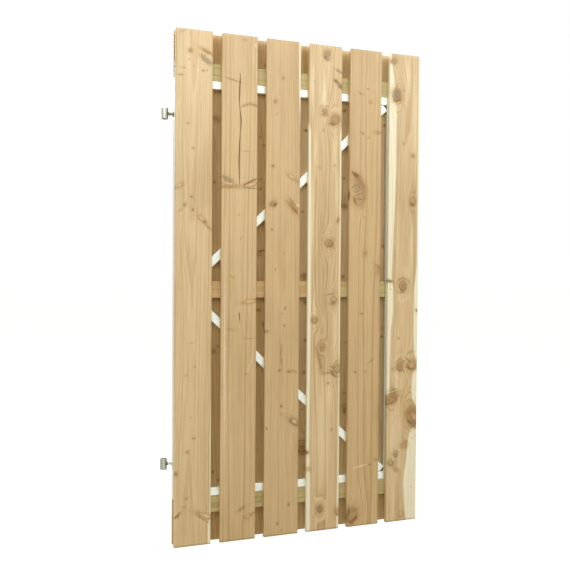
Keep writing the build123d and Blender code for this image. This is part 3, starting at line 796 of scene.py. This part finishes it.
# Tone and growth lines go from pale, 0, to brown, 1. Lines up the board are heights with what lies there:
# the pith's place across and its depth, the place across of the sapwood's edge, the middle, half width and
# share of a band of brown rings, or the middle and half width of a crack. A knot is its kind, its place,
# its half width, its half height and, where it leans, its slope in degrees, in the order of drawing.
FRONT_BOARDS = (
    {"tone": 0.1, "lines": 0.0, "ring": 6.4, "phase": 0.4,
     "pith": (
         (0, 55, 53), (322, 50, 57), (650, 60, 59.5), (967, 65, 57), (1188, 58, 50.6), (1644, 63, 44.2),
         (1900, 66, 39)),
     "sap right": ((0, 126), (84, 127), (90, 133), (500, 135), (700, 139), (1900, 170)),
     "screws": ((18, 1757), (118, 1757), (16, 950), (121, 950), (37, 136), (127, 138)),
     "knots": (
         # The pale mark over the top of this board is a painted sheen, and the dark strip at its left edge
         # near the top is painted shade.
         ("light", 68, 1780, 80, 200), ("faint", 0, 1812, 4, 100), ("brown", 53, 1823, 10, 9),
         ("faint", 112, 1827, 28, 8, -24), ("brown", 114, 1825, 26, 5, -24),
         ("grey", 112, 1794, 33, 10, -38), ("smudge", 28, 1892, 24, 6, 28), ("pin", 31, 1758, 3, 3),
         ("tan", 101, 1755, 5, 4), ("pin", 117, 1757, 3, 3), ("faint", 67, 1768, 3, 3),
         ("faint", 49, 1790, 3, 3), ("brown", 19, 1732, 9, 4, 12), ("scratch", 12, 1626, 2, 24, -4),
         ("tan", 45, 1558, 4, 4), ("tan", 65, 1469, 5, 5), ("spike", 14, 1330, 17, 7, 28),
         ("pin", 60, 1291, 4, 4), ("brown", 35, 1261, 9, 6, 30), ("smudge", 18, 1240, 18, 5, 42),
         ("pin", 65, 1244, 4, 5), ("spike", 100, 1211, 20, 9, -44), ("tan", 110, 1200, 9, 6, -42),
         ("brown", 124, 1180, 16, 5, -45), ("faint", 63, 753, 4, 4), ("faint", 75, 666, 4, 4),
         ("faint", 42, 634, 4, 4), ("faint", 60, 477, 4, 4), ("tan", 73, 400, 5, 4), ("tan", 49, 351, 6, 5),
         ("pin", 7, 273, 7, 9, 20), ("tan", 45, 179, 6, 4, 30), ("smudge", 36, 150, 14, 6),
         ("streak", 14, 119, 19, 5, 42), ("spike", 118, 109, 34, 8, -25), ("pale", 121, 106, 16, 5, -25),
         ("brown", 104, 99, 38, 2.5, -36))},
    {"tone": 0.4, "lines": 0.4, "ring": 5.2, "phase": 2.1,
     "pith": ((0, 62, 76), (1900, 70, 71)),
     "crack": (
         (819, 74, 0), (840, 72, 1.8), (860, 70.3, 2), (869, 70, 0), (1332, 69, 0), (1345, 68.5, 1.0),
         (1380, 67.5, 2.0), (1425, 66.4, 3.0), (1450, 67, 3.2), (1499, 68.5, 2.4), (1540, 71, 1.2),
         (1583, 74, 2.8), (1630, 68, 0.9), (1656, 66, 1.9), (1700, 67.5, 3.3), (1730, 69, 2.6),
         (1765, 69.7, 0)),
     "screws": ((20, 1756), (115, 1757), (18, 950), (123, 950), (23, 136), (118, 137)),
     "knots": (
         ("faint", 86, 1883, 9, 4), ("pale", 129, 1868, 5, 12), ("brown", 44, 1731, 26, 3, -12),
         ("brown", 92, 1643, 17, 4, 23), ("brown", 122, 1645, 18, 5, -12), ("faint", 91, 1470, 14, 3),
         ("grey", 20, 1363, 26, 10, -26), ("brown", 22, 1333, 34, 7), ("spike", 24, 1346, 32, 6, -8),
         ("spike", 112, 1346, 28, 8, 15), ("streak", 112, 1357, 30, 4, 27), ("grey", 114, 1332, 28, 3, 2),
         ("faint", 67, 1230, 4, 4), ("faint", 76, 1144, 3, 8, -20), ("faint", 45, 997, 11, 3, -30),
         ("spike", 112, 905, 28, 8, 9), ("grey", 136, 914, 8, 4, 20), ("smudge", 40, 800, 30, 7, -3),
         ("faint", 113, 765, 28, 2), ("scratch", 116, 672, 2, 40, -15), ("faint", 96, 630, 5, 4),
         ("brown", 84, 120, 15, 6, 32), ("spike", 109, 88, 14, 7, 20), ("brown", 128, 98, 13, 4, 28),
         ("pale", 14, 700, 7, 600))},
    {"tone": 0.5, "lines": 0.5, "ring": 4.6, "phase": 4.2,
     "pith": ((0, -95, 120), (1900, -101, 118)),
     "sap right": ((0, 170), (1300, 150), (1700, 131), (1900, 130)),
     "screws": ((14, 1757), (118, 1757), (14, 950), (117, 950), (22, 134), (114, 136)),
     "knots": (
         ("pin", 66, 1757, 5, 6), ("tan", 36, 1666, 8, 7), ("smudge", 42, 1620, 12, 5, 30),
         ("pin", 27, 1421, 6, 6), ("spike", 102, 1384, 19, 8, -33), ("smudge", 128, 1366, 10, 16),
         ("smudge", 30, 1281, 26, 18, 40), ("grey", 24, 1274, 13, 9, 30), ("brown", 34, 1274, 11, 9, 40),
         ("streak", 38, 1274, 9, 4, 42), ("brown", 112, 1268, 31, 13, -48), ("brown", 106, 1262, 25, 5, -50),
         ("streak", 120, 1252, 16, 3, -55), ("pale", 129, 1275, 9, 10, 20), ("grey", 104, 1290, 16, 3, -45),
         ("warm", 62, 1060, 22, 150), ("warm", 74, 990, 14, 90), ("warm", 66, 1660, 8, 220),
         ("pin", 25, 1179, 4, 5), ("faint", 73, 1089, 4, 4), ("pin", 39, 1026, 3, 3),
         ("pin", 79, 877, 4, 6, -20), ("faint", 68, 857, 4, 4), ("pin", 77, 811, 4, 4),
         ("grey", 3, 790, 10, 7), ("brown", 65, 694, 4, 44, 3), ("pin", 59, 639, 6, 5),
         ("pin", 97, 633, 9, 5), ("faint", 120, 633, 12, 5, -25), ("pin", 67, 500, 5, 5),
         ("faint", 68, 470, 6, 6), ("disc", 120, 438, 22, 12, -35), ("pale", 121, 439, 12, 8, -35),
         ("pin", 8, 418, 4, 5), ("pin", 100, 116, 5, 6), ("pin", 54, 46, 5, 5), ("faint", 70, 19, 4, 4))},
    {"tone": 0.1, "lines": 0.6, "ring": 6.6, "phase": 5.5,
     "pith": ((0, 64, 40), (700, 56, 34), (1600, 63, 30), (1900, 68, 22)),
     "band": (
         (0, 60, 12, 0.2), (180, 68, 14, 0.4), (300, 70, 12, 0.1), (540, 66, 14, 0.0), (608, 68, 8, 0.1),
         (625, 68, 18, 0.9), (700, 62, 27, 1), (1000, 64, 26, 1), (1300, 70, 14, 0.9), (1500, 58, 10, 0.8),
         (1600, 60, 4, 0.5), (1900, 60, 2, 0)),
     "sap left": ((0, 17), (200, 15), (330, 10), (900, 13), (1400, 10), (1560, 8), (1620, -6), (1900, -20)),
     "sap right": ((0, 128), (300, 131), (560, 132), (1400, 131), (1560, 130), (1640, 150), (1900, 160)),
     "screws": ((21, 1757), (121, 1755), (24, 950), (125, 950), (21, 136), (117, 136)),
     "knots": (
         ("cream", 108, 1500, 12, 130), ("cream", 28, 1490, 12, 130), ("cream", 118, 1330, 14, 130),
         ("cream", 116, 790, 16, 170), ("cream", 28, 860, 9, 110), ("cream", 14, 1240, 14, 200),
         ("cream", 92, 540, 16, 90), ("light", 62, 330, 70, 300), ("pale", 12, 1740, 12, 140),
         ("pale", 62, 1735, 9, 85), ("pale", 62, 1690, 16, 48), ("pale", 67, 1608, 4, 14),
         ("disc", 73, 1869, 11, 12), ("smudge", 73, 1869, 22, 24), ("streak", 66, 1852, 12, 5, -30),
         ("brown", 74, 1845, 10, 5, 20), ("disc", 65, 1647, 9, 10), ("smudge", 52, 1664, 12, 4, 42),
         ("smudge", 78, 1664, 12, 4, -42), ("brown", 64, 1631, 14, 5), ("plate", 109, 1615, 17, 17, 10),
         ("faint", 108, 1616, 18, 16), ("streak", 97, 1597, 14, 6, -12), ("brown", 123, 1626, 16, 5, -30),
         ("streak", 110, 1766, 8, 8), ("streak", 127, 1750, 20, 8, -48), ("grey", 124, 1806, 18, 6, -22),
         ("pin", 60, 1570, 3, 5), ("smudge", 44, 1426, 12, 10), ("faint", 108, 1437, 6, 5),
         ("pin", 125, 1222, 6, 12, -20), ("plate", 86, 1132, 16, 15, -10), ("disc", 93, 1131, 9, 11),
         ("pale", 107, 914, 24, 24), ("eye", 109, 912, 13, 14), ("grey", 96, 932, 20, 3, 12),
         ("brown", 104, 893, 14, 6), ("disc", 28, 831, 12, 12), ("ring", 62, 722, 10, 12),
         ("smudge", 58, 668, 14, 60, 16), ("brown", 50, 668, 4.5, 54, 16), ("brown", 84, 621, 20, 3.5, 6),
         ("streak", 110, 612, 16, 4, -42), ("plate", 128, 639, 17, 18, -20), ("grey", 106, 626, 16, 4, -30),
         ("grey", 104, 644, 14, 3, -10), ("pin", 88, 580, 5, 5), ("faint", 105, 395, 7, 7),
         ("pin", 2, 313, 8, 9), ("faint", 8, 247, 12, 12), ("smudge", 55, 80, 22, 36),
         ("disc", 56, 86, 12, 14), ("tan", 56, 87, 6, 8), ("brown", 132, 68, 15, 20),
         ("pin", 131, 54, 4, 4))},
    {"tone": 0.6, "lines": 0.7, "ring": 4.8, "phase": 1.2,
     "pith": ((0, 84, 84), (1900, 95, 80)),
     "screws": ((22, 1756), (120, 1756), (21, 950), (132, 950), (19, 136), (122, 134)),
     "knots": (
         ("tan", 77, 1747, 5, 5), ("brown", 45, 1728, 10, 4, -32), ("tan", 88, 1696, 6, 5, 30),
         ("brown", 55, 1571, 8, 4, -35), ("faint", 80, 1555, 6, 3, 40), ("brown", 122, 1582, 17, 3),
         ("brown", 122, 1574, 15, 3), ("faint", 42, 1350, 27, 62, 18), ("brown", 44, 1372, 30, 14, -56),
         ("streak", 26, 1405, 20, 7, -30), ("streak", 28, 1404, 16, 8, -30), ("brown", 52, 1378, 26, 6, -56),
         ("brown", 66, 1330, 5, 28), ("grey", 24, 1361, 20, 2.5, 38), ("grey", 32, 1352, 22, 2.5, 40),
         ("grey", 36, 1341, 22, 2.5, 34), ("grey", 42, 1328, 22, 2.5, 24), ("blot", 36, 1299, 17, 15),
         ("streak", 22, 1303, 4, 14, 24), ("grey", 42, 1310, 20, 3, -6), ("smudge", 52, 1278, 14, 12),
         ("streak", 0, 1322, 3, 16), ("faint", 66, 1238, 6, 4, -20), ("tan", 70, 1095, 6, 8, -25),
         ("brown", 131, 1036, 12, 8, -35), ("grey", 124, 1046, 12, 3, -30), ("faint", 128, 1018, 12, 12),
         ("pin", 57, 853, 8, 3.5), ("pin", 30, 620, 9, 3.5, -30), ("faint", 78, 619, 5, 5),
         ("faint", 99, 660, 16, 4, 42), ("pale", 56, 239, 46, 5, 10), ("pin", 98, 244, 4, 4),
         ("faint", 124, 261, 10, 9), ("disc", 24, 46, 22, 32, -15), ("streak", 34, 30, 20, 5, 30),
         ("streak", 8, 60, 5, 20), ("grey", 26, 62, 16, 3, 20))},
    {"tone": 0.05, "lines": 0.6, "ring": 5.2, "phase": 3.3,
     "pith": ((0, 52, 52), (500, 66, 56), (1200, 76, 60), (1900, 70, 46)),
     "sap left": (
         (0, -6), (470, -4), (520, 12), (650, 13), (780, 17), (860, 26), (950, 25), (1000, 17), (1200, 25),
         (1300, 29), (1425, 33), (1690, 32), (1715, 14), (1760, 26), (1800, 19), (1850, 12), (1900, 7)),
     "sap right": (
         (0, 92), (40, 87), (150, 78), (200, 82), (250, 91), (300, 96), (350, 102), (372, 112), (392, 140),
         (465, 140), (480, 128), (500, 116), (530, 112), (560, 114), (608, 117), (622, 140), (655, 140),
         (672, 128), (692, 121), (720, 119), (800, 118), (950, 120), (1040, 130), (1900, 131)),
     "screws": ((20, 1756), (114, 1754), (14, 950), (118, 950), (18, 136), (116, 136)),
     "knots": (
         ("cream", 84, 1800, 12, 120), ("cream", 116, 1650, 14, 260), ("cream", 42, 1150, 9, 180),
         ("cream", 106, 1130, 10, 150), ("cream", 44, 580, 8, 60), ("light", 48, 260, 60, 280),
         ("plate", 18, 1871, 14, 11, 20), ("tan", 16, 1870, 12, 9, 20), ("plate", 31, 1738, 20, 25),
         ("disc", 33, 1742, 12, 16), ("grey", 33, 1743, 10, 12), ("streak", 34, 1713, 18, 5, 14),
         ("faint", 64, 1757, 5, 5), ("tan", 67, 1543, 5, 5), ("tan", 109, 1495, 10, 10),
         ("plate", 110, 1310, 12, 15), ("streak", 106, 1297, 9, 7), ("streak", 8, 983, 14, 8, -14),
         ("ring", 69, 965, 18, 19), ("brown", 66, 938, 15, 5), ("pin", 132, 863, 6, 9),
         ("pin", 51, 751, 4, 4), ("plate", 58, 634, 15, 16), ("tan", 58, 636, 8, 9),
         ("grey", 50, 660, 12, 3, 36), ("grey", 68, 661, 12, 3, -36), ("eye", 111, 639, 20, 19, -15),
         ("streak", 98, 628, 14, 4, -30), ("grey", 96, 660, 16, 3, -40), ("faint", 26, 625, 7, 7),
         ("eye", 14, 503, 34, 19, 12), ("brown", 34, 512, 22, 8, 8), ("tan", 10, 500, 16, 10, 10),
         ("grey", 30, 528, 26, 4, 12), ("grey", 26, 540, 22, 3, 12), ("plate", 118, 426, 28, 40, 28),
         ("eye", 126, 426, 17, 26, 30), ("brown", 100, 444, 14, 11, 20), ("brown", 124, 386, 20, 7, -38),
         ("streak", 108, 404, 12, 4, -38), ("smudge", 34, 250, 26, 44), ("pale", 32, 259, 8, 16, 20),
         ("blot", 80, 311, 15, 14), ("ring", 43, 275, 9, 10), ("eye", 20, 242, 12, 11),
         ("blot", 46, 212, 13, 8, -40), ("spike", 69, 27, 10, 12))},
)

# A board has one material for each zone of its length, which holds the knots that reach into that zone
ZONES, KNOT_REACH = 4, 2.6
for order, board in enumerate(FRONT_BOARDS, 1):
    name = f"front_board_{order}"
    low, high = map(np.array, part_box(name))
    size = high - low
    crack = board.get("crack")
    columns, rows = board_grid(size[0], size[2], BOARD_CELL, BOARD_STEP, board["screws"], crack)
    colours = board["tone"], board["lines"], BOARD_SHINE
    half = size[2] / MM / ZONES / 2
    materials = []
    for zone in range(ZONES):
        middle = (2 * zone + 1) * half
        near = [mark for mark in board["knots"]
                if abs(mark[2] - middle) < half + KNOT_REACH * max(mark[3:5])]
        materials.append(board_material(f"board_{order}_{zone}", name, near, *colours, order))
    shape = plank(size, columns, rows, board_face(board["screws"], crack))
    wooden_piece(f"{name}_timber", name, materials, shape, board, board["knots"])


# The rear boards are drawn in a browner tone, partly their own darker heartwood and partly painted shade
# for the shade in the gaps between the front boards. Their planed faces and screws look backwards. The
# knots that show through the gaps are given as for the front boards, and a seeded hand draws the hidden
# ones.
REAR_CELL, REAR_STEP = 4.4 * MM, 12 * MM
REAR_TONES_WITH_SHADE, REAR_SHINE = (0.8, 0.8, 0.75, 0.4, 0.2, 0.25, 0.6), 0.25
HIDDEN_KNOTS, HIDDEN_KINDS, HIDDEN_SIZES, HIDDEN_HEIGHTS = 7, ("pin", "ring", "tan"), (3.5, 9), (0.8, 1.3)
HIDDEN_SHARES, HIDDEN_SPREAD, HIDDEN_MARGIN = (0.2, 0.84), 14, 60
PITH_BESIDE, PITH_DEPTHS, RING_WIDTHS, PHASES = 40, (50, 80), (5, 6.6), (0, 6)
REAR_SCREW_INSET, REAR_SCREW_LEVELS, PLAY_ACROSS, PLAY_UP, NARROW_BOARD = 18, (144, 950, 1756), 4, 2, 100
SEEN_KNOTS = {
    # Painted shade: the brown strip along this board's hinge-side edge near the top darkens its shaded side
    # face.
    "hinge_side_rear_board": (("brown", 0, 1812, 6, 100),),
    "rear_board_1": (
        ("smudge", 72, 1588, 26, 22), ("brown", 72, 1590, 18, 8, -20), ("pin", 67, 1353, 5, 5),
        ("smudge", 70, 1480, 6, 60, 8), ("brown", 66, 715, 9, 10), ("pin", 84, 735, 4, 4),
        ("pin", 66, 258, 5, 4), ("pin", 86, 226, 5, 5)),
    "rear_board_2": (
        ("tan", 75, 1534, 6, 5), ("pin", 90, 1503, 5, 4), ("pin", 74, 1371, 4, 4), ("tan", 74, 1335, 6, 6),
        ("blot", 70, 1086, 11, 9), ("streak", 84, 1099, 14, 3.5, 8), ("pin", 69, 870, 9, 6),
        ("pin", 91, 815, 5, 12), ("pin", 90, 1808, 4, 8)),
    "rear_board_3": (
        ("light", 84, 1150, 70, 650), ("streak", 88, 1573, 9, 5), ("pin", 75, 1253, 5, 4),
        ("faint", 82, 1363, 6, 12), ("brown", 84, 1005, 15, 9, 10), ("brown", 90, 992, 12, 6),
        ("pin", 90, 898, 8, 5), ("pin", 92, 749, 8, 5), ("tan", 86, 622, 8, 7), ("pin", 79, 475, 4, 3),
        ("ring", 80, 325, 22, 17), ("brown", 82, 300, 16, 8)),
    "rear_board_4": (
        ("light", 110, 1180, 70, 350), ("pin", 78, 1663, 8, 8), ("pin", 77, 1393, 5, 5),
        ("smudge", 80, 1300, 16, 40), ("brown", 80, 1283, 16, 12), ("pin", 76, 1000, 6, 7),
        ("faint", 90, 735, 8, 5), ("ring", 92, 466, 10, 13), ("faint", 90, 530, 14, 4)),
    "rear_board_5": (
        ("light", 106, 1350, 70, 900), ("pin", 81, 1618, 6, 5), ("tan", 83, 1125, 9, 7),
        ("tan", 84, 790, 7, 7), ("pin", 78, 755, 5, 5)),
}
draw = np.random.default_rng(11)
rear_screws = []
rear_names = ["hinge_side_rear_board", *(f"rear_board_{k}" for k in range(1, 6)), "lock_side_rear_board"]
for order, (name, tone) in enumerate(zip(rear_names, REAR_TONES_WITH_SHADE), len(FRONT_BOARDS) + 1):
    low, high = map(np.array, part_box(name))
    size = high - low
    width, length = size[0] / MM, size[2] / MM
    knots = [(str(draw.choice(HIDDEN_KINDS)),
              draw.choice(HIDDEN_SHARES) * width + draw.uniform(-HIDDEN_SPREAD, HIDDEN_SPREAD),
              draw.uniform(HIDDEN_MARGIN, length - HIDDEN_MARGIN),
              half, half * draw.uniform(*HIDDEN_HEIGHTS))
             for half in draw.uniform(*HIDDEN_SIZES, HIDDEN_KNOTS)]
    knots += SEEN_KNOTS.get(name, ())
    log = {"pith": [(level, draw.uniform(-PITH_BESIDE, width + PITH_BESIDE), draw.uniform(*PITH_DEPTHS))
                    for level in (0, 1900)],
           "ring": draw.uniform(*RING_WIDTHS), "phase": draw.uniform(*PHASES)}
    sides = (REAR_SCREW_INSET, width - REAR_SCREW_INSET) if width > NARROW_BOARD else (width / 2,)
    screws = [(side + draw.uniform(-PLAY_ACROSS, PLAY_ACROSS), level + draw.uniform(-PLAY_UP, PLAY_UP))
              for level in REAR_SCREW_LEVELS for side in sides]
    rear_screws += [(low[0] + x * MM, high[1], low[2] + z * MM) for x, z in screws]
    columns, rows = board_grid(size[0], size[2], REAR_CELL, REAR_STEP, screws, None)
    materials = [board_material(f"board_{order}", name, knots, tone, tone, REAR_SHINE, order)]
    shape = plank(size, columns, rows, board_face(screws, None))
    wooden_piece(f"{name}_timber", name, materials, shape, log, knots, backwards=True)


# The screws are zinc plated, with countersunk heads and six-lobed drives. Their heads sit flush in the
# dimples they have pressed into the boards, and each is turned another way.
HEAD_ROUND, SCREW_SINK = 24, 0.1 * MM
HEAD_PROFILE = ((0.01, 3.2), (1.5, 2.8), (3.5, 0.7), (3.6, 0.45), (3.45, 0.0))
DRIVE_PROFILE = ((1.0, 0.0), (0.94, 0.3), (0.9, 1.3), (0.01, 1.4))
DRIVE_RADIUS, DRIVE_LOBES, TURN_BETWEEN_SCREWS = 1.55, 0.16, 2.4

screw_material, tree = new_material("screw_zinc")
looks = use_group(tree, zinc, {"Light": srgb(226, 220, 196), "Dull": srgb(182, 176, 150), "Crystals": 0.1})
surface(tree, looks, looks["Color"], Metallic=ZINC_METAL)


def screw_heads(name, places, outwards):
    """Screw heads as one mesh: a turned profile, and in it a recess whose radius waves six times a turn."""
    turn = round_turn(HEAD_ROUND)
    lobes = DRIVE_RADIUS * (1 + DRIVE_LOBES * np.cos(6 * turn))
    head, head_depth = np.array(HEAD_PROFILE).T[..., None]
    drive, drive_depth = np.array(DRIVE_PROFILE).T[..., None]
    radius = np.concatenate([head + 0 * turn, drive * lobes])
    inward = np.concatenate([head_depth, drive_depth])
    across, depth, up = np.array(places).T[..., None, None]
    angle = turn + np.arange(len(places))[:, None, None] * TURN_BETWEEN_SCREWS
    points = stacked(across + radius * np.cos(angle) * MM, depth - outwards * (inward * MM + SCREW_SINK),
                     up + radius * np.sin(angle) * MM)
    faces = grid_faces(len(radius), HEAD_ROUND)
    faces = faces if outwards < 0 else faces[:, ::-1]
    faces = np.concatenate([faces + k * radius.size for k in range(len(places))])
    new_piece(name, points, faces.tolist(), screw_material)


front_screws = []
for order, board in enumerate(FRONT_BOARDS, 1):
    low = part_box(f"front_board_{order}")[0]
    front_screws += [(low[0] + x * MM, low[1], low[2] + z * MM) for x, z in board["screws"]]
screw_heads("front_screws", front_screws, -1)
screw_heads("rear_screws", rear_screws, 1)


# The studio is a pale floor just under the door, soft lamps high up at both sides, one behind for the
# back, and even light from all round. The camera sees floor and sky white, but for the door's soft shadow.
FLOOR_DROP, FLOOR_HALF, FLOOR_COLOUR = 60 * MM, 30, srgb(196, 187, 169)
FLOOR_WHITE, FLOOR_SEEN, FLOOR_MIRRORED = 1.33, 0.7, 0.6
SKY_LIGHT, GLOSSY_SKY, LAMP_SIZE, LAMP_COLOUR = 0.55, 1.0, 2.2, (0.975, 1.0, 1.09)
LAMPS = {
    "right": ((1.5, -1.9, 2.1), 36),
    "left": ((-1.4, -1.8, 2.0), 38),
    "back": ((-0.8, 2.2, 2.1), 60),
}

floor_mesh = bpy.data.meshes.new("floor")
ground = leaf_low[2] - FLOOR_DROP
centre = (leaf_low + leaf_high) / 2
corners = [(centre[0] + x * FLOOR_HALF, y * FLOOR_HALF, ground)
           for x, y in ((-1, -1), (1, -1), (1, 1), (-1, 1))]
floor_mesh.from_pydata(corners, [], [(0, 1, 2, 3)])
floor = bpy.data.objects.new("floor", floor_mesh)
bpy.context.scene.collection.objects.link(floor)

floor_material, tree = new_material("floor")
light_path = node(tree, "LightPath", {})
matt = node(tree, "BsdfDiffuse", {"Color": FLOOR_COLOUR}).outputs[0]
white = node(tree, "Emission", {"Color": (1, 1, 1, 1), "Strength": FLOOR_WHITE}).outputs[0]
share = calc(tree, "MULTIPLY", light_path.outputs["Is Camera Ray"], FLOOR_SEEN)
share = calc(tree, "MULTIPLY_ADD", light_path.outputs["Is Glossy Ray"], FLOOR_MIRRORED, share)
node(tree, "OutputMaterial", {"Surface": node(tree, "MixShader", {0: share, 1: matt, 2: white}).outputs[0]})
floor_mesh.materials.append(floor_material)

world = bpy.data.worlds.new("studio")
world.use_nodes = True
tree = world.node_tree
tree.nodes.clear()
light_path = node(tree, "LightPath", {})
seen = calc(tree, "MAXIMUM", light_path.outputs["Is Camera Ray"], light_path.outputs["Is Transmission Ray"])
seen = calc(tree, "MULTIPLY_ADD", light_path.outputs["Is Glossy Ray"], GLOSSY_SKY, seen)
strength = ramp(tree, seen, 0.0, 1.0, SKY_LIGHT, 1.0)
background = node(tree, "Background", {"Color": (1, 1, 1, 1), "Strength": strength}).outputs[0]
node(tree, "OutputWorld", {"Surface": background})
bpy.context.scene.world = world

for name, (place, power) in LAMPS.items():
    lamp = bpy.data.objects.new(f"{name}_lamp", bpy.data.lights.new(f"{name}_lamp", "AREA"))
    lamp.data.shape = "DISK"
    lamp.data.size = LAMP_SIZE
    lamp.data.energy = power
    lamp.data.color = LAMP_COLOUR
    aim = (-Vector(place)).to_track_quat("-Z", "Y").to_matrix().to_4x4()
    lamp.matrix_world = Matrix.Translation(centre + Vector(place)) @ aim
    bpy.context.scene.collection.objects.link(lamp)
bpy.context.scene.view_settings.view_transform = "Standard"
